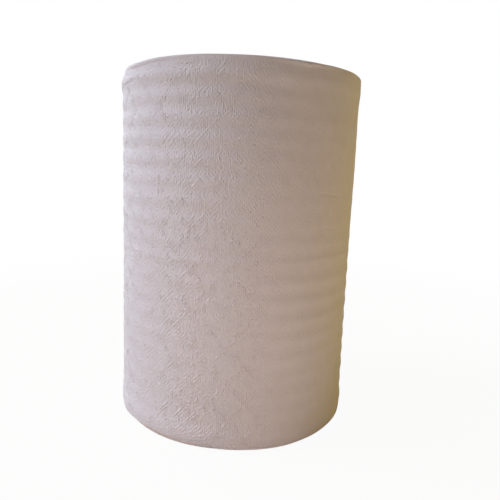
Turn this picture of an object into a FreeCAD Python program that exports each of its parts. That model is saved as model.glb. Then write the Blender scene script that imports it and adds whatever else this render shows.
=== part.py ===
import FreeCAD, Part
import math
import os

# A paper towel roll standing on end: one long embossed paper web wound on a cardboard tube.
# Lengths are in millimetres and angles in degrees. The origin is on the tube's axis at the
# lower end, +Z runs up the axis, and angles are counted about +Z from +X.

# Web and roll
SHEET_WIDTH = 230.0
ROLL_RADIUS = 79.5
WEB_THICKNESS = 0.5
TAIL_ANGLE = 8.0
SHEET_LENGTH = 250.0

# Cardboard tube
CORE_BORE_RADIUS = 22.5
CORE_WALL = 1.2

# Soft rim at each end: the cut edges of the outer turns roll over and stand a little proud
RIM_RADIUS = 5.0
RIM_BANDS = 3
RIM_FLARE = 0.7
RIM_CREST = 3.0
FLARE_LENGTH = 14.0

# Turns on the end faces: one groove stands for about eighteen windings of the web
TURN_PITCH = 5.6
TURN_GROOVE_WIDTH = 1.3
TURN_GROOVE_DEPTH = 0.6
FIRST_TURN_GAP = 3.0
LAST_TURN_GAP = 1.5

# Perforated tear line between two sheets
TEAR_LINE_WIDTH = 0.7
TEAR_LINE_DEPTH = 0.3

# A cutting tool runs this far past the face that it cuts
OVERCUT = 1.0

# The spiral's first half turn is this much smaller than the roll's mean radius
FIRST_HALF_RADIUS = ROLL_RADIUS - WEB_THICKNESS / 2

# The tube fills the web's hole, so both share this radius
CORE_OUTER_RADIUS = CORE_BORE_RADIUS + CORE_WALL

AXIS_UP = FreeCAD.Vector(0, 0, 1)
ORIGIN = FreeCAD.Vector(0, 0, 0)


def section_point(radius, height):
    """A point of a section drawn in the XZ plane, with the roll's axis at X = 0."""
    return FreeCAD.Vector(radius, 0, height)


def section_face(points):
    """The face inside a closed outline of straight edges through the points."""
    return Part.Face(Part.makePolygon(points + [points[0]]))


def rim_points(outer_radius, end_height, inwards):
    """One end's rim, from the flat end face to the straight wall.

    The outer windings lean over in bands, whose edges lie on a quarter circle. The last
    band meets the crest, which stands proud of the wall, and a shallow cone brings the
    crest back to the wall.
    inwards is +1 at the lower end and -1 at the upper end: the way to the roll's middle.
    """
    crest_radius = outer_radius + RIM_FLARE
    centre_height = end_height + inwards * RIM_RADIUS
    points = []
    for band in range(RIM_BANDS + 1):
        lean = math.pi / 2 * band / RIM_BANDS
        points.append(section_point(
            crest_radius - RIM_RADIUS + RIM_RADIUS * math.sin(lean),
            centre_height - inwards * RIM_RADIUS * math.cos(lean),
        ))
    crest_end = centre_height + inwards * RIM_CREST
    points.append(section_point(crest_radius, crest_end))
    points.append(section_point(outer_radius, crest_end + inwards * FLARE_LENGTH))
    return points


def web_section(outer_radius):
    """Half the section of the wound web: bore, flat ends, rims and straight wall."""
    lower_rim = rim_points(outer_radius, 0, 1)
    upper_rim = rim_points(outer_radius, SHEET_WIDTH, -1)
    upper_rim.reverse()
    bore_bottom = section_point(CORE_BORE_RADIUS, 0)
    bore_top = section_point(CORE_BORE_RADIUS, SHEET_WIDTH)
    return section_face([bore_bottom] + lower_rim + upper_rim + [bore_top])


def half_turn(section, centre_x, start_angle):
    """A section swept half a turn about an upright axis through (centre_x, 0)."""
    centre = FreeCAD.Vector(centre_x, 0, 0)
    placed = section.copy()
    placed.rotate(ORIGIN, AXIS_UP, start_angle)
    placed.translate(centre)
    return placed.revolve(centre, AXIS_UP, 180)


def spiral_turn(section_grown_by, pitch):
    """The two half turns of a spiral that grows by one pitch in a full turn.

    The first half turns about the roll's axis. The second turns about an axis half a pitch
    along +X, with every radius half a pitch larger. So it leaves the first half without a
    step on the -X side, and it ends one pitch further out on the +X side.
    """
    first_half = half_turn(section_grown_by(0), 0, 0)
    second_half = half_turn(section_grown_by(pitch / 2), pitch / 2, 180)
    return [first_half, second_half]


def wound_envelope():
    """The outside of the wound web, with a step one sheet high at its free end."""
    first_half, second_half = spiral_turn(
        lambda growth: web_section(FIRST_HALF_RADIUS + growth),
        WEB_THICKNESS,
    )
    return first_half.fuse(second_half)


def turn_radii():
    """Where the first half turn of each groove crosses an end face."""
    first = CORE_OUTER_RADIUS + FIRST_TURN_GAP + TURN_GROOVE_WIDTH / 2
    face_end_radius = FIRST_HALF_RADIUS + RIM_FLARE - RIM_RADIUS
    last = face_end_radius - LAST_TURN_GAP - TURN_GROOVE_WIDTH / 2
    count = int((last - first) / TURN_PITCH)
    return [first + index * TURN_PITCH for index in range(count)]


def groove_section(radius, end_height, outwards):
    """A V across an end face. outwards is -1 at the lower end and +1 at the upper end."""
    tip = section_point(radius, end_height - outwards * TURN_GROOVE_DEPTH)
    mouth_height = end_height + outwards * OVERCUT
    spread = TURN_GROOVE_WIDTH / 2 * (TURN_GROOVE_DEPTH + OVERCUT) / TURN_GROOVE_DEPTH
    inner = section_point(radius - spread, mouth_height)
    outer = section_point(radius + spread, mouth_height)
    return section_face([tip, outer, inner])


def turn_grooves(end_height, outwards):
    """The spiral groove that shows the turns on one end, as its half turns."""
    cutters = []
    for radius in turn_radii():
        cutters += spiral_turn(
            lambda growth: groove_section(radius + growth, end_height, outwards),
            TURN_PITCH,
        )
    return cutters


def tear_line():
    """The shallow line of one perforation, one sheet's length back from the free end.

    The free end is at angle 0, and the outermost sheet runs from it clockwise, seen from
    above.
    """
    outside = web_section(FIRST_HALF_RADIUS + OVERCUT)
    bottom = web_section(FIRST_HALF_RADIUS - TEAR_LINE_DEPTH)
    strip = outside.cut(bottom)
    width_angle = math.degrees(TEAR_LINE_WIDTH / ROLL_RADIUS)
    sheet_angle = math.degrees(SHEET_LENGTH / ROLL_RADIUS)
    strip.rotate(ORIGIN, AXIS_UP, -sheet_angle - width_angle / 2)
    return strip.revolve(ORIGIN, AXIS_UP, width_angle)


def paper_roll():
    """The wound web: its outside, core hole, tear line and the turns on both ends."""
    core_hole = Part.makeCylinder(CORE_OUTER_RADIUS, SHEET_WIDTH)
    cutters = [core_hole, tear_line()]
    cutters += turn_grooves(0, -1)
    cutters += turn_grooves(SHEET_WIDTH, 1)
    web = wound_envelope().cut(cutters).removeSplitter()
    web.rotate(ORIGIN, AXIS_UP, TAIL_ANGLE)
    return web


def core_tube():
    """The cardboard tube, sawn flush with the web at both ends."""
    outside = Part.makeCylinder(CORE_OUTER_RADIUS, SHEET_WIDTH)
    bore = Part.makeCylinder(CORE_BORE_RADIUS, SHEET_WIDTH)
    return outside.cut(bore)


os.makedirs("parts", exist_ok=True)
paper_roll().exportStep("parts/paper_roll.step")
core_tube().exportStep("parts/core_tube.step")
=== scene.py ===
# %% [markdown]
# # A paper towel roll standing on its end
#
# The real thing is one long strip of soft tissue, about 60 m of it, wound on a cardboard
# tube. The construction model already fixes every size, so this lesson only dresses it: the
# outermost sheets get their embossing, the two ends get their windings, and the tube gets its
# spiral seam. Everything is in metres, in the construction model's own frame.

import math

import bpy
import numpy as np
from mathutils import Matrix, Vector


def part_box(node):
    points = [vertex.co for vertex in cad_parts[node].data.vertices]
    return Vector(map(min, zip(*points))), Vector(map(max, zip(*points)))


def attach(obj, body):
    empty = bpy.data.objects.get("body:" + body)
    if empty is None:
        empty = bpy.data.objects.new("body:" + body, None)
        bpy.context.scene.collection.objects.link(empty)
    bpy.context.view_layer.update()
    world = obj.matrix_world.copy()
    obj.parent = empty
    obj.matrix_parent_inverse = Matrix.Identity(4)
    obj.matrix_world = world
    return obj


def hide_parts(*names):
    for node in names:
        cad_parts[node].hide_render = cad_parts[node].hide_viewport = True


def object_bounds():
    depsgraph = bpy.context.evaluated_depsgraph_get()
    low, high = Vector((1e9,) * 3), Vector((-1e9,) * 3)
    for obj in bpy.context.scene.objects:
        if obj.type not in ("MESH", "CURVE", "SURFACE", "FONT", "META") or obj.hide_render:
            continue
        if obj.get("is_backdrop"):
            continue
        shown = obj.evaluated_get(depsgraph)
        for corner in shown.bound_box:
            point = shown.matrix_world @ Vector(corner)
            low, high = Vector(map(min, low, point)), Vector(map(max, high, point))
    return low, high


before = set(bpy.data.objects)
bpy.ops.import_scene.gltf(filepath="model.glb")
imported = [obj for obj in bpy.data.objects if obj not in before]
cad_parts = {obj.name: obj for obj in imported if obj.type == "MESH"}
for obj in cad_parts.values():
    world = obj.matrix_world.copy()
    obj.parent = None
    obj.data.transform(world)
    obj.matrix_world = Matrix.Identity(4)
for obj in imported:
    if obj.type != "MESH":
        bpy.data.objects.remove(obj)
cad_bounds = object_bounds()
print("construction model's box, m:", [list(corner) for corner in cad_bounds])

# %% [markdown]
# ## Sizes
#
# The roll's height and radius and the tube's size come from the frame's boxes, so the surfaces
# below always fit the construction model. The small sizes that no box can tell, such as the
# rim's roundness and the thickness of one sheet, repeat the construction model's values.

# %% Sizes of the roll, in metres and radians
MM = 0.001
roll_low, roll_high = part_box("paper_roll")
tube_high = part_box("core_tube")[1]

HEIGHT = roll_high.z
RIM_FLARE = 0.7 * MM
RIM_RADIUS = 5.0 * MM
RIM_CREST = 3.0 * MM
FLARE_LENGTH = 14.0 * MM
SHEET_STEP = 0.5 * MM
SHEET_LENGTH = 250.0 * MM
TAIL_ANGLE = math.radians(8.0)
CORE_WALL = 1.2 * MM

ROLL_RADIUS = -roll_low.y - RIM_FLARE
TUBE_OUTER = tube_high.x
TUBE_BORE = TUBE_OUTER - CORE_WALL
FRONT_ANGLE = -math.pi / 2
SHEET_ANGLE = SHEET_LENGTH / ROLL_RADIUS
print("roll radius %.2f mm, height %.1f mm" % (ROLL_RADIUS / MM, HEIGHT / MM))
print("one sheet covers %.1f degrees" % math.degrees(SHEET_ANGLE))

# %% [markdown]
# ## Small tools
#
# A colour is easiest to read as the hex value that a paint or paper swatch is given in, but a
# renderer works in linear light, so one function converts it. Another adds a shader node with
# its settings and links in one call, which keeps each material short enough to read.

# %% Colour and node helpers
def linear(hex_colour):
    """An sRGB hex colour as linear RGBA: below 0.04045 a straight line, above it a power."""
    channels = [int(hex_colour[place:place + 2], 16) / 255 for place in (1, 3, 5)]
    lit = [c / 12.92 if c <= 0.04045 else ((c + 0.055) / 1.055) ** 2.4 for c in channels]
    return (*lit, 1.0)


def add_node(tree, kind, settings=None, inputs=None):
    """Adds one shader node with its settings.

    An input goes by its socket's name or number. It is a plain value, or another node's
    output socket, which is then linked to it.
    """
    node = tree.nodes.new(kind)
    for name, value in (settings or {}).items():
        setattr(node, name, value)
    for name, value in (inputs or {}).items():
        socket = node.inputs[name]
        if isinstance(value, bpy.types.NodeSocket):
            tree.links.new(value, socket)
        else:
            socket.default_value = value
    return node


def new_material(name):
    """A node material whose tree is still empty."""
    material = bpy.data.materials.new(name)
    material.use_nodes = True
    material.node_tree.nodes.clear()
    return material, material.node_tree


WHITE = linear("#ffffff")
print("middle grey is %.3f in linear light" % linear("#808080")[0])

# %% [markdown]
# ## Meshes from arrays
#
# Each surface here is a function of two numbers, so numpy works out all its points at once.
# What is left is to number the faces. A closed surface joins its last row or column back to
# its first, so that no seam is left open.

# %% Grid and mesh helpers
SHARP_ANGLE = math.radians(50)


def grid_faces(columns, rows, wrap_columns=False, wrap_rows=False, first=0):
    """Quads of a grid whose point (i, j) has the number first + i * rows + j."""
    i = np.arange(columns if wrap_columns else columns - 1)[:, None]
    j = np.arange(rows if wrap_rows else rows - 1)[None, :]
    next_i = (i + 1) % columns
    next_j = (j + 1) % rows
    corners = [i * rows + j, next_i * rows + j, next_i * rows + next_j, i * rows + next_j]
    return first + np.stack(np.broadcast_arrays(*corners), axis=-1).reshape(-1, 4)


def add_piece(name, points, faces, web_map, material, smooth=True):
    """Makes a mesh object with its own UV map and hands it to the frame's body."""
    mesh = bpy.data.meshes.new(name)
    mesh.from_pydata(points.reshape(-1, 3).tolist(), [], faces)
    uv_layer = mesh.uv_layers.new(name="web")
    loop_points = np.empty(len(mesh.loops), dtype=np.int32)
    mesh.loops.foreach_get("vertex_index", loop_points)
    uv_layer.data.foreach_set("uv", web_map.reshape(-1, 2)[loop_points].ravel())
    mesh.validate()
    mesh.polygons.foreach_set("use_smooth", np.full(len(mesh.polygons), smooth))
    if smooth:
        mesh.set_sharp_from_angle(angle=SHARP_ANGLE)
    mesh.materials.append(material)
    piece = bpy.data.objects.new(name, mesh)
    bpy.context.scene.collection.objects.link(piece)
    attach(piece, "root")
    triangles = sum(len(face) - 2 for face in faces)
    print("%s: %d points, %d triangles" % (name, len(mesh.vertices), triangles))
    return piece


# %% Waves, bells and steps
def soft_noise(angle, height, seed, longest, shortest, waves=14):
    """Gentle random waves on the roll: a sum of cosines in random directions.

    Each wave has a whole number of cycles round the roll, so the sum closes on itself, and
    its wavelength lies between the two lengths given. The result is about -1 to 1.
    """
    draw = np.random.default_rng(seed)
    total = 0.0
    for _ in range(waves):
        wavelength = math.exp(draw.uniform(math.log(shortest), math.log(longest)))
        heading = draw.uniform(0, 2 * math.pi)
        cycles = round(2 * math.pi * ROLL_RADIUS * math.cos(heading) / wavelength)
        climb = 2 * math.pi * math.sin(heading) / wavelength
        phase = draw.uniform(0, 2 * math.pi)
        total = total + np.cos(cycles * angle + climb * height + phase)
    return total / math.sqrt(2 * waves)


def bell(value, centre, width):
    """A smooth bump that is 1 at the centre and fades over the width."""
    return np.exp(-((value - centre) / width) ** 2)


def smooth_step(value, start, end):
    """0 before start, 1 after end, with a smooth S between them."""
    t = np.clip((value - start) / (end - start), 0, 1)
    return t * t * (3 - 2 * t)


def smooth_fall(value, start, end):
    """1 before start, 0 after end: the smooth step turned round."""
    return smooth_step(-value, -end, -start)


print("a bell is %.2f high at its width" % bell(1.0, 0.0, 1.0))

# %% [markdown]
# ## The camera
#
# The camera stands 35 cm from the roll's axis and 6 cm below its top, and looks slightly down.
# So close, the roll's lower end looks narrower than its upper end, and both ends bulge. Its
# place and lens could be set by eye, but fitting a cylinder of the roll's size to the outline
# gives them to a pixel. A small yaw and roll are part of the fit, because a camera held in the
# hand is never quite square.

# %% Camera
CAMERA_DISTANCE = 351.1 * MM
CAMERA_HEIGHT = 170.0 * MM
CAMERA_PITCH = math.radians(9.49)
CAMERA_YAW = math.radians(1.62)
CAMERA_ROLL = math.radians(2.21)
FOCAL_PIXELS = 489.0
PICTURE_PIXELS = 500
SENSOR_WIDTH = 36.0
NEAREST_SEEN = 10.0 * MM


def camera_axes():
    """The camera's right, up and forward directions: pitched down, then yawed, then rolled."""
    yaw = Matrix.Rotation(-CAMERA_YAW, 3, "Z")
    forward = yaw @ Vector((0, math.cos(CAMERA_PITCH), -math.sin(CAMERA_PITCH)))
    up = yaw @ Vector((0, math.sin(CAMERA_PITCH), math.cos(CAMERA_PITCH)))
    right = yaw @ Vector((1, 0, 0))
    rolled_right = math.cos(CAMERA_ROLL) * right + math.sin(CAMERA_ROLL) * up
    rolled_up = math.cos(CAMERA_ROLL) * up - math.sin(CAMERA_ROLL) * right
    return rolled_right, rolled_up, forward


def make_camera():
    """The camera in front of the roll.

    Its lens is the focal length over the picture's width, both in pixels, times the
    sensor's width. The columns of its turn are its right, its up and its backward direction.
    """
    data = bpy.data.cameras.new("camera")
    data.sensor_width = SENSOR_WIDTH
    data.lens = FOCAL_PIXELS / PICTURE_PIXELS * SENSOR_WIDTH
    data.clip_start = NEAREST_SEEN
    camera = bpy.data.objects.new("camera", data)
    right, up, forward = camera_axes()
    turn = Matrix((right, up, -forward)).transposed().to_4x4()
    camera.matrix_world = Matrix.Translation((0, -CAMERA_DISTANCE, CAMERA_HEIGHT)) @ turn
    bpy.context.scene.collection.objects.link(camera)
    bpy.context.scene.camera = camera
    print("lens %.1f mm" % data.lens)


make_camera()

# %% [markdown]
# ## Tissue
#
# Kitchen tissue is two plies of creped paper. Creping scrapes the wet sheet off a drum with a
# blade, which leaves fine ridges across the web, and on a standing roll these run up and down.
# An embossing roller then presses rows of dots into it. The paper scatters light so evenly that
# it has almost no gloss. Bump alone could draw all of this, but the mesh would stay bare and
# its outline smooth. So the dots and the coarsest creping are in the mesh. Only the finer
# creping and the fibres are bump, on the sheet's own UV map of metres along and across the web.

# %% Embossing lattice
DIAMONDS_ROUND = 23
LATTICE_ACROSS = 2 * math.pi * ROLL_RADIUS / DIAMONDS_ROUND
LATTICE_UP = 22.8 * MM
LATTICE_START_ACROSS = 19.0 * MM
LATTICE_START_UP = 20.0 * MM
LATTICE_LEAN = 0.02
LATTICE_LINE_GAP = LATTICE_ACROSS * LATTICE_UP / math.hypot(LATTICE_ACROSS, LATTICE_UP)
DOTS_PER_REPEAT = 18


def lattice_distance(across, up):
    """Distance in metres to the nearest line of the diamond lattice.

    Counted in repeats across and up, its rising lines are where the difference of the two
    counts is whole, and its falling lines are where their sum is.
    """
    u = (across + LATTICE_LEAN * up - LATTICE_START_ACROSS) / LATTICE_ACROSS
    v = (up - LATTICE_START_UP) / LATTICE_UP
    rising = np.abs(u - v - np.round(u - v)) * LATTICE_LINE_GAP
    falling = np.abs(u + v - np.round(u + v)) * LATTICE_LINE_GAP
    return np.minimum(rising, falling)


print("lattice %.2f by %.2f mm" % (LATTICE_ACROSS / MM, LATTICE_UP / MM))

# %% Tissue material
CREPE_PITCH = 0.6 * MM
CREPE_BUMP = 0.20 * MM
FIBRE_CLUMP = 0.9 * MM
FIBRE_BUMP = 0.05 * MM
MOTTLE_PATCH = 7.0 * MM


def tissue_material(name, paper_hex, shade_hex):
    """White creped tissue: matt, finely ridged, and faintly mottled where fibres clump."""
    material, tree = new_material(name)
    web = add_node(tree, "ShaderNodeUVMap", {"uv_map": "web"}).outputs["UV"]

    # The ridges are one pitch apart along the web and twice as long across it. Real ones are
    # about half as far apart, which is too fine to show
    crepe_scale = add_node(tree, "ShaderNodeMapping", None, {
        "Vector": web,
        "Scale": (1 / CREPE_PITCH, 1 / (2 * CREPE_PITCH), 1.0),
    })
    ridges = add_node(tree, "ShaderNodeTexNoise", None, {
        "Vector": crepe_scale.outputs["Vector"],
        "Scale": 1.0,
        "Detail": 2.0,
        "Roughness": 0.6,
    }).outputs["Fac"]
    fibre = add_node(tree, "ShaderNodeTexNoise", None, {
        "Vector": web,
        "Scale": 1 / FIBRE_CLUMP,
        "Detail": 3.0,
        "Roughness": 0.7,
    }).outputs["Fac"]

    # Their heights in metres, one on the other
    height = add_node(tree, "ShaderNodeMath", {"operation": "MULTIPLY"}, {
        0: ridges,
        1: CREPE_BUMP,
    }).outputs["Value"]
    height = add_node(tree, "ShaderNodeMath", {"operation": "MULTIPLY_ADD"}, {
        0: fibre,
        1: FIBRE_BUMP,
        2: height,
    }).outputs["Value"]
    bump = add_node(tree, "ShaderNodeBump", None, {
        "Height": height,
        "Strength": 1.0,
        "Distance": 1.0,
    })

    mottle = add_node(tree, "ShaderNodeTexNoise", None, {
        "Vector": web,
        "Scale": 1 / MOTTLE_PATCH,
        "Detail": 4.0,
    }).outputs["Fac"]
    colour = add_node(tree, "ShaderNodeMix", {"data_type": "RGBA"}, {
        "Factor": mottle,
        "A": linear(shade_hex),
        "B": linear(paper_hex),
    })
    surface = add_node(tree, "ShaderNodeBsdfPrincipled", None, {
        "Base Color": colour.outputs["Result"],
        "Roughness": 0.95,
        "IOR": 1.45,
        "Specular IOR Level": 0.2,
        "Normal": bump.outputs["Normal"],
    })
    add_node(tree, "ShaderNodeOutputMaterial", None, {"Surface": surface.outputs["BSDF"]})
    return material


tissue = tissue_material("creped_tissue", "#dfd9d7", "#d7d0cd")
print("%s: %d nodes" % (tissue.name, len(tissue.node_tree.nodes)))

# %% [markdown]
# ## The outermost sheets
#
# What shows of the roll is its last two sheets. The last one ends in a free edge that steps
# down by one thickness of paper, and it is joined to the sheet before it by a perforation.
# A cloth simulation could lay them, but they are wound too tight to fold, so each is worked out
# as a surface on the spiral. It is a thin closed shell: a fine outer face that carries the
# relief, a coarse inner face that nothing shows, and narrow faces round the edge. At both ends
# of the roll the sheet stops a little short, so that the rounded rim of the windings below
# shows past its cut edge.

# %% Profile of the wall
LATTICE_STEPS = 2 * DOTS_PER_REPEAT
COLUMN_STEP = LATTICE_ACROSS / LATTICE_STEPS
ROW_STEP = LATTICE_UP / LATTICE_STEPS
RIM_STEPS = 8


def wall_offset(height):
    """How far the wall stands out at a height: a low crest at each rim, fading inwards."""
    from_end = np.minimum(height, HEIGHT - height)
    fade = smooth_step(from_end, RIM_RADIUS + RIM_CREST, RIM_RADIUS + RIM_CREST + FLARE_LENGTH)
    return RIM_FLARE * (1 - fade)


def spiral_radius(angle):
    """Distance from the axis to the outside of the wound web.

    The half turn after the free end is a circle about the axis. The other half is a circle
    about a point half a sheet nearer the free end, which grows by one sheet to meet it.
    """
    turned = np.mod(angle - TAIL_ANGLE, 2 * math.pi)
    offset = SHEET_STEP / 2
    second = offset * np.cos(turned) + np.sqrt(ROLL_RADIUS ** 2 - (offset * np.sin(turned)) ** 2)
    return np.where(turned < math.pi, ROLL_RADIUS - offset, second)


def sheet_heights(lower_edge, upper_edge, wall_heights):
    """Heights of each column's points: close rows from the cut edge, the wall, close rows.

    The close rows share out the stretch between the edge and the wall's first row, so they
    move with the edge where the sheet has slipped.
    """
    share = np.linspace(0, 1, RIM_STEPS, endpoint=False)[None, :]
    first, last = wall_heights[:, :1], wall_heights[:, -1:]
    lower = lower_edge[:, None] + (first - lower_edge[:, None]) * share
    top = HEIGHT - upper_edge[:, None]
    upper = top + (last - top) * share[:, ::-1]
    return np.concatenate([lower, wall_heights, upper], axis=1)


print("grid step %.2f by %.2f mm" % (COLUMN_STEP / MM, ROW_STEP / MM))

# %% [markdown]
# ### Relief of the sheets
#
# The relief is a sum of simple surfaces, each with its own cause. The lattice presses narrow
# bands in, with rows of dots along them, and leaves diamond pillows between. The pillows of the
# windings below line up in rings, which shows as soft ribs. Handling leaves a slack ring at
# mid-height, a few short creases and two small dents, and it has crushed the left of the upper
# rim. The whole roll is never quite round. Sculpting could give all this too, but a sum of
# waves, bells and steps can be read, measured and changed one cause at a time.

# %% Pillows and dots
PILLOW_HEIGHT = 0.08 * MM
BAND_HALF_WIDTH = 1.6 * MM
# Real dots stand about 0.3 mm high. Low ones are lost at the picture's scale, so the crispest
# are drawn up to three times as high
DOT_HEIGHT = 0.28 * MM
DOT_UNEVENNESS = (0.5, 1.4)
DOT_SHARE_OFF_BAND = 0.28
DOT_SEED = 61


def pillows(across, up):
    """Diamond pillows: high between the lattice's lines and pressed in along them."""
    return PILLOW_HEIGHT * smooth_step(lattice_distance(across, up), 0.8 * MM, 4.5 * MM)


def dots(across, up):
    """The embossed dots, which stand in diagonal rows along the lattice's lines.

    Counted in grid steps, a dot stands where the column is a multiple of 4 and the row is 2
    more than one, and the other way round. So each line runs between two rows of dots. Dots
    off the lattice's bands are lower, and each dot's height is a little random.
    """
    column = np.mod(np.rint((across - LATTICE_START_ACROSS) / COLUMN_STEP), 4)
    row = np.mod(np.rint((up - LATTICE_START_UP) / ROW_STEP), 4)
    raised = ((column == 0) & (row == 2)) | ((column == 2) & (row == 0))
    in_band = 1 - smooth_step(
        lattice_distance(across, up), BAND_HALF_WIDTH - 0.4 * MM, BAND_HALF_WIDTH + 0.6 * MM)
    uneven = np.random.default_rng(DOT_SEED).uniform(*DOT_UNEVENNESS, column.shape)
    share = DOT_SHARE_OFF_BAND + (1 - DOT_SHARE_OFF_BAND) * in_band
    return DOT_HEIGHT * raised * uneven * share


print("dots %.2f mm apart in a row" % (math.hypot(2 * COLUMN_STEP, 2 * ROW_STEP) / MM))

# %% Creping, and how crisp it all is
CREPE_HEIGHT = 0.073 * MM
CREPE_SEED = 62
CRISPEST_SIDE = math.radians(1)
PRESSED_SIDE = math.radians(55)


def creping(shape):
    """Coarse creping: a random height at each grid point, less its neighbours' mean.

    The neighbours along the web count for more than those above and below, which draws the
    ridges out upwards.
    """
    height = np.random.default_rng(CREPE_SEED).normal(size=shape)
    beside = np.roll(height, 1, axis=0) + np.roll(height, -1, axis=0)
    above = np.roll(height, 1, axis=1) + np.roll(height, -1, axis=1)
    return CREPE_HEIGHT * (height - 0.35 * beside - 0.15 * above)


def crispness(angle, up):
    """How crisp the embossing still is, by the cosine of the angle from two places.

    It falls a little with height, gains up to 1 low down at the front, and is pressed to
    about a sixth on the right side, where the roll has been held.
    """
    from_crispest = np.cos(angle - FRONT_ANGLE - CRISPEST_SIDE)
    from_pressed = np.cos(angle - FRONT_ANGLE - PRESSED_SIDE)
    risen = up / HEIGHT
    strength = 0.72 - 0.12 * risen
    strength = strength + (1 - risen) * smooth_step(from_crispest, 0.70, 0.97)
    return strength * (1.44 - 1.22 * smooth_step(from_pressed, 0.58, 0.87))


print("crispness at the front: %.2f low down, %.2f at the top" % (
    crispness(FRONT_ANGLE, 0.0), crispness(FRONT_ANGLE, HEIGHT)))

# %% Ribs and the slack ring
RIB_HEIGHT = 0.22 * MM
RIB_PITCH = 11.6 * MM
RIB_CREST = 185.2 * MM
SLACK_RING = 117.5 * MM
SLACK_WANDER = 0.8 * MM
SLACK_RIDGE = 0.22 * MM
SLACK_GROOVE = 0.14 * MM
GROOVE_BELOW = 3.6 * MM


def ribs(across, up):
    """Soft rings one above the other: a cosine of the height, in waves one pitch long.

    They are strongest at the upper left, above a slanting border, and at the lower right.
    """
    border = 0.4 * (up - 140 * MM)
    upper_left = smooth_step(border - across, -25 * MM, 35 * MM)
    upper_left = upper_left * (0.2 + 0.8 * smooth_step(up, 80 * MM, 200 * MM))
    lower_right = smooth_fall(up, 90 * MM, 150 * MM) * smooth_step(across, -20 * MM, 40 * MM)
    weight = 0.30 + 0.70 * np.maximum(upper_left, lower_right)
    wave = np.cos(2 * math.pi * (up - RIB_CREST) / RIB_PITCH)
    return RIB_HEIGHT * weight * wave


def slack_ring(angle, up):
    """A slack fold round the middle: a narrow ridge with a groove on its lower side.

    Both are bells of the height. Slow waves round the roll move them up and down and make
    them stronger and weaker.
    """
    middle = SLACK_RING + SLACK_WANDER * soft_noise(angle, 0 * up, 11, 0.12, 0.04)
    strength = 0.6 + 0.4 * soft_noise(angle, 0 * up, 12, 0.08, 0.02)
    ridge = bell(up, middle, 1.5 * MM)
    groove = bell(up, middle - GROOVE_BELOW, 1.8 * MM)
    return strength * (SLACK_RIDGE * ridge - SLACK_GROOVE * groove)


print("about %d ribs, %.1f mm apart" % (HEIGHT // RIB_PITCH, RIB_PITCH / MM))

# %% Creases and dents
CREASES = [
    # (start across, start up, end across, end up, depth), in millimetres
    (-99, 217.0, -69, 218.8, 0.34),
    (-89, 170.0, -71, 169.6, 0.20),
    (50, 157.0, 76, 155.0, 0.13),
    (51, 135.5, 71, 135.5, 0.12),
]
CREASE_WIDTH = 0.9 * MM
DENTS = [(-89, 118.0), (-79, 118.0)]
DENT_DEPTH = 0.45 * MM
DENT_WIDTH = 1.2 * MM
DENT_HEIGHT = 3.0 * MM


def creases_and_dents(across, up):
    """Short sharp creases, each a narrow groove along a line, and two upright dents."""
    depth = 0.0
    for x0, z0, x1, z1, deep in CREASES:
        along = (across / MM - x0) / (x1 - x0)
        line = (z0 + (z1 - z0) * along) * MM
        ends = smooth_step(along, -0.1, 0.15) * smooth_fall(along, 0.85, 1.1)
        depth = depth + deep * MM * ends * bell(up, line, CREASE_WIDTH)
    for x, z in DENTS:
        dent = bell(across, x * MM, DENT_WIDTH) * bell(up, z * MM, DENT_HEIGHT)
        depth = depth + DENT_DEPTH * dent
    return -depth


print("%d creases and %d dents" % (len(CREASES), len(DENTS)))

# %% The crushed shoulder, the sag and the sum
CRUSHED_SIDE = math.radians(-86)
CRUSH_DEPTH = 3.8 * MM
CRUSH_SPREAD = math.radians(22)
CRUSH_REACH = 4.7 * MM
SAG_HEIGHT = 0.25 * MM
RIPPLE_HEIGHT = 0.05 * MM


def crushed_shoulder(angle, up):
    """The left of the upper rim is pressed in: a bell round the side and down from the end."""
    side = np.mod(angle - FRONT_ANGLE, 2 * math.pi) - 2 * math.pi
    return -CRUSH_DEPTH * bell(side, CRUSHED_SIDE, CRUSH_SPREAD) * bell(up, HEIGHT, CRUSH_REACH)


def sag(angle, up):
    """The roll's own unevenness, which every winding shares: a slow swell and the crush."""
    return SAG_HEIGHT * soft_noise(angle, up, 21, 0.16, 0.05) + crushed_shoulder(angle, up)


def sheet_relief(across, up, angle):
    """All the relief of the outer sheets, in metres along the outward normal.

    The embossing fades out at the cut edges, and the pillows, the ribs and the ring do so
    over a longer stretch. The creases, the ripple and the sag run right to the edge.
    """
    ripple = RIPPLE_HEIGHT * soft_noise(angle, up, 22, 0.02, 0.006, waves=24)
    near_end = np.minimum(up, HEIGHT - up)
    fine = crispness(angle, up) * (dots(across, up) + creping(across.shape))
    fine = fine * smooth_step(near_end, 0, 4 * MM)
    broad = pillows(across, up) + ribs(across, up) + slack_ring(angle, up)
    broad = broad * smooth_step(near_end, 1 * MM, 12 * MM)
    return fine + broad + creases_and_dents(across, up) + ripple + sag(angle, up)


print("the crushed shoulder goes in by %.1f mm" % (
    -crushed_shoulder(FRONT_ANGLE + CRUSHED_SIDE, HEIGHT) / MM))

# %% [markdown]
# ### Building a sheet
#
# The grid's points lie in diagonal rows, as the dots do, so that each dot has a point at its
# top and others round its foot. The faces stay flat, since smooth shading would average the
# dots away. The inner face takes only every eighth line, because nothing shows it, and a row of
# many-cornered faces closes the edge between the fine and the coarse grid. A Solidify modifier
# could give the thickness too, but its inner face would be as fine as the outer one.

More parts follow.
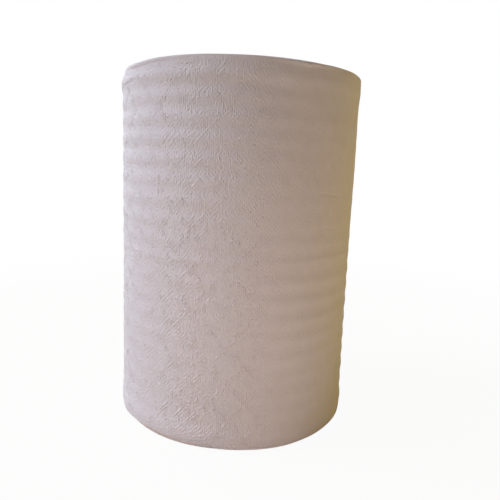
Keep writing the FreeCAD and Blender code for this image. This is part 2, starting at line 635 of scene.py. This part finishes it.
# %% Edges of a sheet
def sheet_edges(across, angle):
    """How far short of each end the sheet stops: more where it has slipped along the roll.

    Each is a plain distance, plus bells round the places where the sheet has slipped, plus
    slow waves that move both edges together.
    """
    wander = 0.25 * MM * soft_noise(angle, 0.0, 31, 0.2, 0.03)
    lower = 1.4 * MM + 3.4 * MM * bell(across, -52 * MM, 34 * MM) + wander
    upper = 1.2 * MM + 0.5 * MM * bell(across, 36 * MM, 17 * MM)
    upper = upper + 0.9 * MM * bell(across, -78 * MM, 26 * MM) - wander
    return np.clip(lower, 0.7 * MM, 5 * MM), np.clip(upper, 0.7 * MM, 3.5 * MM)


def cut_edges(across, height, lower_edge, upper_edge):
    """The cut edges: both curl in a little, but the upper one flares out in two places.

    Each fades with the distance from the edge as a bell 1 to 2 mm wide. A flare is widest
    a little below the edge, as its rim rolls over.
    """
    from_lower = height - lower_edge[:, None]
    from_upper = HEIGHT - upper_edge[:, None] - height
    flare = -0.35 + 1.6 * bell(across, -72 * MM, 34 * MM) + 1.6 * bell(across, 38 * MM, 17 * MM)
    curl = -0.40 * MM * bell(from_lower, 0.0, 1.8 * MM)
    return curl + 0.42 * MM * flare * bell(from_upper, 0.6 * MM, 1.2 * MM)


PERFORATION_PITCH = 6.4 * MM
SLIT_PULL = 0.25 * MM


def perforation_slits(heights):
    """1 inside a slit of the perforation and 0 at a bond: 4.6 mm slits and 1.8 mm bonds."""
    place = np.mod(heights / PERFORATION_PITCH, 1.0)
    return smooth_step(place, 0.0, 0.12) * smooth_fall(place, 0.72, 0.84)


print("%d slits in a perforation" % (HEIGHT // PERFORATION_PITCH))

# %% Grid of a sheet
EDGE_ZONE = 6.5 * MM


def wall_rows(raised):
    """Heights of the wall's grid points. Rows are two steps apart, and a raised column
    stands one step higher, so that the points lie in diagonal rows as the dots do."""
    first = math.ceil((EDGE_ZONE - LATTICE_START_UP) / (2 * ROW_STEP) + 0.3)
    last = math.floor((HEIGHT - EDGE_ZONE - LATTICE_START_UP) / (2 * ROW_STEP) - 0.8)
    level = LATTICE_START_UP + 2 * ROW_STEP * np.arange(first, last + 1)[None, :]
    return level + ROW_STEP * raised[:, None]


def wall_columns(start, end):
    """Distances along the web of the grid's columns, with the sheet's two ends exact, and
    which of them are raised by one step: every second one."""
    begin, finish = (start - FRONT_ANGLE) * ROLL_RADIUS, (end - FRONT_ANGLE) * ROLL_RADIUS
    first = math.ceil((begin - LATTICE_START_ACROSS) / COLUMN_STEP + 0.4)
    last = math.floor((finish - LATTICE_START_ACROSS) / COLUMN_STEP - 0.4)
    numbers = np.arange(first, last + 1)
    inside = LATTICE_START_ACROSS + COLUMN_STEP * numbers
    raised = np.concatenate([[0], np.mod(numbers, 2), [0]])
    return np.concatenate([[begin], inside, [finish]]), raised


print("%d rows on the wall" % wall_rows(np.zeros(1)).shape[1])

# %% Faces of a sheet's shell
COARSE_STEP = 8


def staggered_faces(columns, rows, raised):
    """Triangles between staggered columns. Each quad is cut along its shorter diagonal."""
    quads = grid_faces(columns, rows)
    rises = np.repeat(raised[1:] > raised[:-1], rows - 1)[:, None]
    first = np.where(rises, quads[:, [0, 1, 3]], quads[:, [0, 1, 2]])
    second = np.where(rises, quads[:, [1, 2, 3]], quads[:, [0, 2, 3]])
    return np.concatenate([first, second])


def coarse(count):
    """Every eighth line of a fine grid, and always the last one."""
    lines = list(range(0, count - 1, COARSE_STEP))
    return np.array(lines + [count - 1])


def edge_strips(columns, rows, kept_columns, kept_rows, inner_number):
    """Faces that close a shell's edge, one for each stretch between two kept lines."""
    faces = []
    for fixed_row, flip in ((0, False), (rows - 1, True)):
        inner_row = 0 if fixed_row == 0 else len(kept_rows) - 1
        for k in range(len(kept_columns) - 1):
            fine = [i * rows + fixed_row for i in range(kept_columns[k], kept_columns[k + 1] + 1)]
            face = fine + [inner_number(k + 1, inner_row), inner_number(k, inner_row)]
            faces.append(face if flip else face[::-1])
    for fixed_column, flip in ((0, True), (columns - 1, False)):
        inner_column = 0 if fixed_column == 0 else len(kept_columns) - 1
        for k in range(len(kept_rows) - 1):
            fine = [fixed_column * rows + j for j in range(kept_rows[k], kept_rows[k + 1] + 1)]
            face = fine + [inner_number(inner_column, k + 1), inner_number(inner_column, k)]
            faces.append(face if flip else face[::-1])
    return faces


print("the coarse lines of a 20-line grid:", coarse(20).tolist())

# %% Sheet builder
PAPER_THICKNESS = 0.4 * MM
TAIL_LIFT = 0.35 * MM
TAIL_LIFT_WIDTH = 2.5 * MM
JUST_INSIDE = 1e-6
SAME_ANGLE = 1e-9


def build_sheet(name, start, end, has_free_end, material):
    """One sheet of the web, from one angle to another, as a thin closed shell.

    Its radius is the spiral's, plus the wall's offset, plus the relief. The sheet with the
    free end is perforated where it starts, and the other one where it ends.
    """
    across, raised = wall_columns(start, end)
    angle = FRONT_ANGLE + across / ROLL_RADIUS
    lower_edge, upper_edge = sheet_edges(across, angle)
    height = sheet_heights(lower_edge, upper_edge, wall_rows(raised))
    columns, rows = height.shape

    # The spiral steps at the free end, so its angle stays just inside the sheet
    angles = np.repeat(angle[:, None], rows, axis=1)
    acrosses = np.repeat(across[:, None], rows, axis=1)
    radius = spiral_radius(np.clip(angles, start + JUST_INSIDE, end - JUST_INSIDE))
    radius = radius + wall_offset(height)
    relief = sheet_relief(acrosses, height, angles)
    relief = relief + cut_edges(acrosses, height, lower_edge, upper_edge)

    # The free end stands off the sheet below
    if has_free_end:
        lift = bell(angles * ROLL_RADIUS, end * ROLL_RADIUS, TAIL_LIFT_WIDTH)
        relief = relief + TAIL_LIFT * lift

    # The perforated edge draws back into its sheet at each slit
    perforated, towards = (start, 1.0) if has_free_end else (end, -1.0)
    at_edge = np.abs(angles - perforated) < SAME_ANGLE
    angles = angles + towards * at_edge * (SLIT_PULL / ROLL_RADIUS * perforation_slits(height))

    def place(depth):
        """Points of the surface at a depth below the sheet's outside."""
        r = radius + relief - depth
        return np.stack([r * np.cos(angles), r * np.sin(angles), height], axis=-1)

    kept_columns, kept_rows = coarse(columns), coarse(rows)
    outer = place(0.0)
    inner = place(PAPER_THICKNESS)[np.ix_(kept_columns, kept_rows)]
    web_map = np.stack([acrosses, height], axis=-1)
    inner_map = web_map[np.ix_(kept_columns, kept_rows)]
    first_inner = columns * rows

    def inner_number(k, m):
        """The number of the inner face's point on kept column k and kept row m."""
        return first_inner + k * len(kept_rows) + m

    outer_faces = staggered_faces(columns, rows, raised)
    inner_faces = grid_faces(len(kept_columns), len(kept_rows), first=first_inner)[:, ::-1]
    faces = outer_faces.tolist() + inner_faces.tolist()
    faces += edge_strips(columns, rows, kept_columns, kept_rows, inner_number)
    points = np.concatenate([outer.reshape(-1, 3), inner.reshape(-1, 3)])
    maps = np.concatenate([web_map.reshape(-1, 2), inner_map.reshape(-1, 2)])
    return add_piece(name, points, faces, maps, material, smooth=False)


# %% The last two sheets
# Each covers half the roll. The sheet before starts a little way under the free end
TUCK = math.radians(3.0)
PERFORATION_ANGLE = TAIL_ANGLE - SHEET_ANGLE
FIRST_ANGLE = TAIL_ANGLE - TUCK - 2 * math.pi
last_sheet = build_sheet("last_sheet", PERFORATION_ANGLE, TAIL_ANGLE, True, tissue)
sheet_before = build_sheet("sheet_before", FIRST_ANGLE, PERFORATION_ANGLE, False, tissue)
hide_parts("paper_roll")
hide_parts("paper_roll")

# %% [markdown]
# ## The windings below
#
# Under the two outer sheets lies the rest of the web. Only its rims and its two sawn ends show.
# A real end has nearly two hundred windings, 0.3 mm each. A spiral wall with that many turns
# would need far too many faces, so the mesh gives every fifth winding its own height and
# groove, and a bump pattern draws those between. The body is one closed ring: bottom end, lower
# rim, wall, upper rim, top end and core hole.

# %% Cut edge of tissue
WINDING = 0.3 * MM
RING_BUMP = 0.03 * MM
FUZZ_CLUMP = 1.2 * MM
FUZZ_BUMP = 0.25 * MM
FUZZ_BEND = 0.5 * MM


def cut_tissue_material(name, paper_hex, shade_hex):
    """The sawn edge of wound tissue: slightly fuzzy rings, with painted shade in the gaps between
    them.
    """
    material, tree = new_material(name)
    place = add_node(tree, "ShaderNodeTexCoord").outputs["Object"]
    parts = add_node(tree, "ShaderNodeSeparateXYZ", None, {"Vector": place})
    flat = add_node(tree, "ShaderNodeCombineXYZ", None, {
        "X": parts.outputs["X"],
        "Y": parts.outputs["Y"],
    })
    radius = add_node(tree, "ShaderNodeVectorMath", {"operation": "LENGTH"}, {
        "Vector": flat.outputs["Vector"],
    }).outputs["Value"]
    fuzz = add_node(tree, "ShaderNodeTexNoise", None, {
        "Vector": place,
        "Scale": 1 / FUZZ_CLUMP,
        "Detail": 3.0,
        "Roughness": 0.65,
    }).outputs["Fac"]

    # Rings one winding apart: the sine of the radius, bent a little by the fuzz
    bent = add_node(tree, "ShaderNodeMath", {"operation": "MULTIPLY_ADD"}, {
        0: fuzz,
        1: FUZZ_BEND,
        2: radius,
    }).outputs["Value"]
    turns = add_node(tree, "ShaderNodeMath", {"operation": "MULTIPLY"}, {
        0: bent,
        1: 2 * math.pi / WINDING,
    }).outputs["Value"]
    rings = add_node(tree, "ShaderNodeMath", {"operation": "SINE"}, {0: turns}).outputs["Value"]

    # Their heights in metres, with the fuzz on them
    height = add_node(tree, "ShaderNodeMath", {"operation": "MULTIPLY"}, {
        0: rings,
        1: RING_BUMP,
    }).outputs["Value"]
    height = add_node(tree, "ShaderNodeMath", {"operation": "MULTIPLY_ADD"}, {
        0: fuzz,
        1: FUZZ_BUMP,
        2: height,
    }).outputs["Value"]
    bump = add_node(tree, "ShaderNodeBump", None, {
        "Height": height,
        "Strength": 0.8,
        "Distance": 1.0,
    })

    # Painted shade: the colour darkens where the rings are low, in the gaps between windings, on
    # top of the fuzz's random tone
    shade = add_node(tree, "ShaderNodeMath", {"operation": "MULTIPLY_ADD"}, {
        0: rings,
        1: 0.15,
        2: fuzz,
    }).outputs["Value"]
    colour = add_node(tree, "ShaderNodeMix", {"data_type": "RGBA"}, {
        "Factor": shade,
        "A": linear(shade_hex),
        "B": linear(paper_hex),
    })
    surface = add_node(tree, "ShaderNodeBsdfPrincipled", None, {
        "Base Color": colour.outputs["Result"],
        "Roughness": 0.97,
        "IOR": 1.45,
        "Specular IOR Level": 0.15,
        "Normal": bump.outputs["Normal"],
    })
    add_node(tree, "ShaderNodeOutputMaterial", None, {"Surface": surface.outputs["BSDF"]})
    return material


# The sawn edges are lighter and warmer than the sheets' tissue: partly their own warm tint,
# partly painted light, the warm glow the floor throws up onto the lower rims
cut_tissue = cut_tissue_material("sawn_tissue_edges", "#f2e9e6", "#d8cbc5")
print("%s: %d nodes" % (cut_tissue.name, len(cut_tissue.node_tree.nodes)))

# %% Relief of a sawn end
DRAWN_WINDING = 1.5 * MM
LEVEL_WAVES = 10
LEVEL_HEIGHT = 0.045 * MM
GAP_DEPTH = 0.28 * MM
GAP_SHARE = 0.16


def winding_relief(radius, angle, seed):
    """Height of a sawn end: a spiral of windings, each at its own level, with gaps between.

    The spiral coordinate is the radius in windings less the angle in turns. Its whole part
    plus the angle counts windings along the web without a jump at the seam, and random
    waves along that count set each winding's level. Its fraction places the gap.
    """
    turn = angle / (2 * math.pi)
    spiral = (radius - TUBE_OUTER) / DRAWN_WINDING - turn
    whole = np.floor(spiral)
    part = spiral - whole
    count = whole + turn
    draw = np.random.default_rng(seed)
    level = 0.0
    for _ in range(LEVEL_WAVES):
        rate = draw.uniform(0.15, 0.85)
        level = level + np.cos(2 * math.pi * (rate * count + draw.uniform()))
    gap = bell(np.minimum(part, 1 - part), 0.0, GAP_SHARE)
    return LEVEL_HEIGHT * level - GAP_DEPTH * gap


print("%d windings are drawn on an end" % ((ROLL_RADIUS - TUBE_OUTER) / DRAWN_WINDING))

# %% End and rim of the wound body
STEPS_PER_WINDING = 4
WINDING_RIM_STEPS = 20
# The body lies this far under the outside of the sheets, and this far round the tube. A
# winding may stand a little proud of the upper end, but not of the lower one, on the floor
UNDER_SHEET = 0.65 * MM
TUBE_CLEARANCE = 0.02 * MM
PROUD_WINDING = 0.3 * MM


def end_radii():
    """Radii of an end face's rows, from the tube out to the rim's start."""
    start = TUBE_OUTER + TUBE_CLEARANCE
    stop = ROLL_RADIUS + RIM_FLARE - RIM_RADIUS - UNDER_SHEET
    steps = int((stop - start) / DRAWN_WINDING * STEPS_PER_WINDING)
    return np.linspace(start, stop, steps, endpoint=False)


def winding_rim(angle, lean, end_height, inwards, seed):
    """Radii and heights of a rim: a quarter circle that carries the windings' relief.

    At a lean from the end face, the circle is rim * (1 - sin lean) inside the wall and
    rim * (1 - cos lean) from the end. The relief moves it along its normal and fades out
    where the outer sheets lie over it.
    """
    wall = spiral_radius(angle) - UNDER_SHEET + RIM_FLARE
    radius = wall - RIM_RADIUS * (1 - np.sin(lean))
    depth = RIM_RADIUS * (1 - np.cos(lean))
    bare = smooth_fall(lean, math.radians(60), math.radians(82))
    relief = bare * winding_relief(radius, angle, seed)
    swell = sag(angle, end_height + inwards * depth)
    radius = radius + (relief + swell) * np.sin(lean)
    return radius, end_height + inwards * (depth - relief * np.cos(lean))


def winding_end(angle, end_height, inwards, seed):
    """Radii and heights of one end, from the tube over the face and round the rim."""
    radii = end_radii()[None, :] + 0 * angle
    lean = np.linspace(0, math.pi / 2, WINDING_RIM_STEPS)[None, :] + 0 * angle
    off_tube = smooth_step(radii, TUBE_OUTER, TUBE_OUTER + 1 * MM)
    face = end_height - inwards * off_tube * winding_relief(radii, angle, seed)
    rim_radius, rim_height = winding_rim(angle, lean, end_height, inwards, seed)
    radius = np.concatenate([radii, rim_radius], axis=1)
    height = np.concatenate([face, rim_height], axis=1)
    return radius, np.clip(height, 0.0, HEIGHT + PROUD_WINDING)


print("%d rows on an end face, %d on a rim" % (len(end_radii()), WINDING_RIM_STEPS))

# %% Wound body
BODY_COLUMNS = 288
HIDDEN_WALL = 1.2 * MM


def build_windings():
    """The wound web below the outer sheets, as one ring closed both ways.

    Between the rims its wall keeps a little further in, where the outer sheets hide it.
    """
    angle = np.linspace(0, 2 * math.pi, BODY_COLUMNS, endpoint=False)[:, None]
    lower_radius, lower_height = winding_end(angle, 0.0, 1, 41)
    upper_radius, upper_height = winding_end(angle, HEIGHT, -1, 42)
    hidden_height = np.array([[2 * RIM_RADIUS, HEIGHT - 2 * RIM_RADIUS]]) + 0 * angle
    hidden_radius = spiral_radius(angle) - UNDER_SHEET - HIDDEN_WALL + 0 * hidden_height

    radius = np.concatenate([lower_radius, hidden_radius, upper_radius[:, ::-1]], axis=1)
    height = np.concatenate([lower_height, hidden_height, upper_height[:, ::-1]], axis=1)
    angles = angle + 0 * radius
    points = np.stack([radius * np.cos(angles), radius * np.sin(angles), height], axis=-1)
    faces = grid_faces(*radius.shape, wrap_columns=True, wrap_rows=True)
    web_map = np.stack([angles * ROLL_RADIUS, height], axis=-1)
    return add_piece("windings", points, faces.tolist(), web_map, cut_tissue)


windings = build_windings()
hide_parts("paper_roll")

# %% [markdown]
# ## The cardboard tube
#
# The tube is wound from two strips of grey board glued one over the other at a slant, so its
# bore shows a helical seam. A curve swept along a helix could cut that seam, but turning each
# row of the grid a little further than the one below makes the grid's columns follow the strip,
# and the seam is then one column pressed in.

# %% Cardboard material
BOARD_FIBRE = (1.2 * MM, 5.0 * MM)
BOARD_BUMP = 0.1 * MM


def cardboard_material(name, board_hex, dark_hex):
    """Recycled grey board: matt, with short dark and light fibres along the strip."""
    material, tree = new_material(name)
    web = add_node(tree, "ShaderNodeUVMap", {"uv_map": "web"}).outputs["UV"]
    stretch = add_node(tree, "ShaderNodeMapping", None, {
        "Vector": web,
        "Scale": (1 / BOARD_FIBRE[0], 1 / BOARD_FIBRE[1], 1.0),
    })
    fibre = add_node(tree, "ShaderNodeTexNoise", None, {
        "Vector": stretch.outputs["Vector"],
        "Scale": 1.0,
        "Detail": 5.0,
        "Roughness": 0.7,
    }).outputs["Fac"]
    contrast = add_node(tree, "ShaderNodeMapRange", None, {
        "Value": fibre,
        "From Min": 0.35,
        "From Max": 0.65,
    }).outputs["Result"]
    colour = add_node(tree, "ShaderNodeMix", {"data_type": "RGBA"}, {
        "Factor": contrast,
        "A": linear(dark_hex),
        "B": linear(board_hex),
    })
    bump = add_node(tree, "ShaderNodeBump", None, {
        "Height": fibre,
        "Strength": 0.4,
        "Distance": BOARD_BUMP,
    })
    surface = add_node(tree, "ShaderNodeBsdfPrincipled", None, {
        "Base Color": colour.outputs["Result"],
        "Roughness": 0.85,
        "IOR": 1.5,
        "Specular IOR Level": 0.3,
        "Normal": bump.outputs["Normal"],
    })
    add_node(tree, "ShaderNodeOutputMaterial", None, {"Surface": surface.outputs["BSDF"]})
    return material


cardboard = cardboard_material("grey_board", "#b39c80", "#8d785f")
print("%s: %d nodes" % (cardboard.name, len(cardboard.node_tree.nodes)))

# %% Tube
STRIP_LEAD = 95.0 * MM
TUBE_COLUMNS = 144
TUBE_ROWS = 92
SEAM_DEPTH = 0.18 * MM
SEAM_WIDTH = 0.7 * MM
LAP_DEPTH = 0.10 * MM


def build_tube():
    """The tube as one ring closed both ways: bore, upper end, outside, lower end.

    A point's angle is its column's angle plus one turn for each strip lead of height. The
    seam is pressed in as a bell about the first column, on the bore and on the outside, and
    beside it the bore lies a little deeper, where the inner strip has no lap.
    """
    column = np.linspace(0, 2 * math.pi, TUBE_COLUMNS, endpoint=False)[:, None]
    up = np.linspace(0, HEIGHT, TUBE_ROWS)[None, :]
    height = np.concatenate([up, up[:, ::-1]], axis=1)
    bore = np.full_like(up, TUBE_BORE)
    outside = np.full_like(up, TUBE_OUTER - TUBE_CLEARANCE)
    from_seam = np.minimum(column, 2 * math.pi - column) * TUBE_BORE
    seam = SEAM_DEPTH * bell(from_seam, 0.0, SEAM_WIDTH)
    lap = LAP_DEPTH * smooth_step(column, 0.0, 0.5) * smooth_fall(column, 0.5, 0.9)
    radius = np.concatenate([bore + seam + lap, outside - seam], axis=1)
    angles = column + 2 * math.pi * height / STRIP_LEAD
    points = np.stack([radius * np.cos(angles), radius * np.sin(angles), height + 0 * column],
                      axis=-1)
    rows = 2 * TUBE_ROWS
    faces = grid_faces(TUBE_COLUMNS, rows, wrap_columns=True, wrap_rows=True)[:, ::-1]
    web_map = np.stack([column * TUBE_BORE + 0 * height, height + 0 * column], axis=-1)
    return add_piece("cardboard_tube", points, faces.tolist(), web_map, cardboard)


tube = build_tube()
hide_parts("core_tube")

# %% [markdown]
# ## Floor, background and light
#
# The roll stands in a pale room, between a high, cool window on its left and the room's dim
# warm light behind it and on its right. A second, weaker window light comes from behind on the
# left. Two small glows stand near the roll, for what the table in front and a warm wall on the
# right throw back. A panorama could light it too, but a few lamps are easier to match one by
# one. The floor and background are plain. The camera sees them as white, while other rays meet a
# pale floor and a dim room. Near the roll the floor keeps a small share of its diffuse shading,
# which shows the roll's shadow and fades out with the distance.

# %% Floor
FLOOR_HALF_SIZE = 6.0
SHADOW_NEAR = 0.15
SHADOW_FAR = 0.8
WHITE_SHARE_NEAR = 0.95


def floor_material():
    """A pale floor that the camera sees as white: a mix of diffuse shading and plain white.

    The share of white is 0.95 under the roll and grows to 1 with the distance from it. For
    any other ray it is 0.
    """
    material, tree = new_material("plain_floor")
    camera_ray = add_node(tree, "ShaderNodeLightPath").outputs["Is Camera Ray"]
    diffuse = add_node(tree, "ShaderNodeBsdfDiffuse", None, {"Color": linear("#bfb5a6")})
    glow = add_node(tree, "ShaderNodeEmission", None, {"Color": WHITE, "Strength": 1.0})
    place = add_node(tree, "ShaderNodeTexCoord").outputs["Object"]
    distance = add_node(tree, "ShaderNodeVectorMath", {"operation": "LENGTH"}, {
        "Vector": place,
    }).outputs["Value"]
    share = add_node(tree, "ShaderNodeMapRange", {"interpolation_type": "SMOOTHSTEP"}, {
        "Value": distance,
        "From Min": SHADOW_NEAR,
        "From Max": SHADOW_FAR,
        "To Min": WHITE_SHARE_NEAR,
        "To Max": 1.0,
    }).outputs["Result"]
    white_share = add_node(tree, "ShaderNodeMath", {"operation": "MULTIPLY"}, {
        0: camera_ray,
        1: share,
    }).outputs["Value"]
    mixed = add_node(tree, "ShaderNodeMixShader", None, {
        "Fac": white_share,
        1: diffuse.outputs["BSDF"],
        2: glow.outputs["Emission"],
    })
    add_node(tree, "ShaderNodeOutputMaterial", None, {"Surface": mixed.outputs["Shader"]})
    return material


def make_floor():
    """One large square at the height of the roll's lower end, marked as stage."""
    half = FLOOR_HALF_SIZE
    corners = [(-half, -half, 0), (half, -half, 0), (half, half, 0), (-half, half, 0)]
    mesh = bpy.data.meshes.new("floor")
    mesh.from_pydata([Vector(corner) for corner in corners], [], [(0, 1, 2, 3)])
    mesh.materials.append(floor_material())
    floor = bpy.data.objects.new("floor", mesh)
    bpy.context.scene.collection.objects.link(floor)
    floor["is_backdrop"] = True
    print("floor %.0f m wide" % (2 * half))


make_floor()

# %% World
def make_world():
    """A dim warm room for the roll's own light, seen as plain white by the camera.

    Mirrored and refracted rays see the white too.
    """
    world = bpy.data.worlds.new("studio")
    world.use_nodes = True
    tree = world.node_tree
    tree.nodes.clear()
    path = add_node(tree, "ShaderNodeLightPath")
    seen = path.outputs["Is Camera Ray"]
    for ray in ("Is Glossy Ray", "Is Transmission Ray"):
        seen = add_node(tree, "ShaderNodeMath", {"operation": "MAXIMUM"}, {
            0: seen,
            1: path.outputs[ray],
        }).outputs["Value"]
    room = add_node(tree, "ShaderNodeBackground", None, {
        "Color": linear("#fff4d7"),
        "Strength": 0.01,
    })
    white = add_node(tree, "ShaderNodeBackground", None, {"Color": WHITE, "Strength": 1.0})
    mixed = add_node(tree, "ShaderNodeMixShader", None, {
        "Fac": seen,
        1: room.outputs["Background"],
        2: white.outputs["Background"],
    })
    add_node(tree, "ShaderNodeOutputWorld", None, {"Surface": mixed.outputs["Shader"]})
    bpy.context.scene.world = world
    print("world: %d nodes" % len(tree.nodes))


make_world()

# %% Lights
ROLL_MIDDLE = Vector((0, 0, HEIGHT / 2))


def light_from(name, side_angle, elevation, distance, size, hex_colour, power):
    """A square area light on a sphere about the roll's middle, which it faces.

    The side angle is counted from the front, negative to the left, and the elevation from
    level. The light stands at distance times (sin side cos up, -cos side cos up, sin up).
    """
    data = bpy.data.lights.new(name, "AREA")
    data.shape = "SQUARE"
    data.size = size
    data.color = linear(hex_colour)[:3]
    data.energy = power
    light = bpy.data.objects.new(name, data)
    light.visible_camera = False
    side, up = math.radians(side_angle), math.radians(elevation)
    heading = Vector((math.sin(side) * math.cos(up), -math.cos(side) * math.cos(up),
                      math.sin(up)))
    place = ROLL_MIDDLE + distance * heading
    aim = (ROLL_MIDDLE - place).to_track_quat("-Z", "Y")
    light.matrix_world = Matrix.Translation(place) @ aim.to_matrix().to_4x4()
    bpy.context.scene.collection.objects.link(light)
    print("%s: %.3g W, %.2f m away" % (name, power, distance))


light_from("window", -86, 50, 3.0, 1.30, "#e3eaff", 107.0)
light_from("window_behind", -135, 24, 2.5, 1.20, "#f2f6ff", 36.0)
light_from("room_behind", 165, 20, 2.5, 1.20, "#fff3dc", 6.0)
light_from("room_right", 125, 12, 2.5, 1.20, "#fff592", 15.5)
light_from("table_glow", 0, -20, 0.32, 0.20, "#ffe9e7", 0.425)
light_from("wall_glow_right", 66, 6, 0.32, 0.20, "#ffc720", 0.108)

bpy.context.scene.view_settings.view_transform = "Standard"

# %% [markdown]
# ## Sizes of the dressed roll
#
# Last, the dressed roll's box is worked out beside the construction model's.

# %% The two boxes, and finish
looks_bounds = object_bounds()
sizes = {
    "cad": [list(map(float, corner)) for corner in cad_bounds],
    "looks": [list(map(float, corner)) for corner in looks_bounds],
}
print("dressed model's box, m:", sizes["looks"])
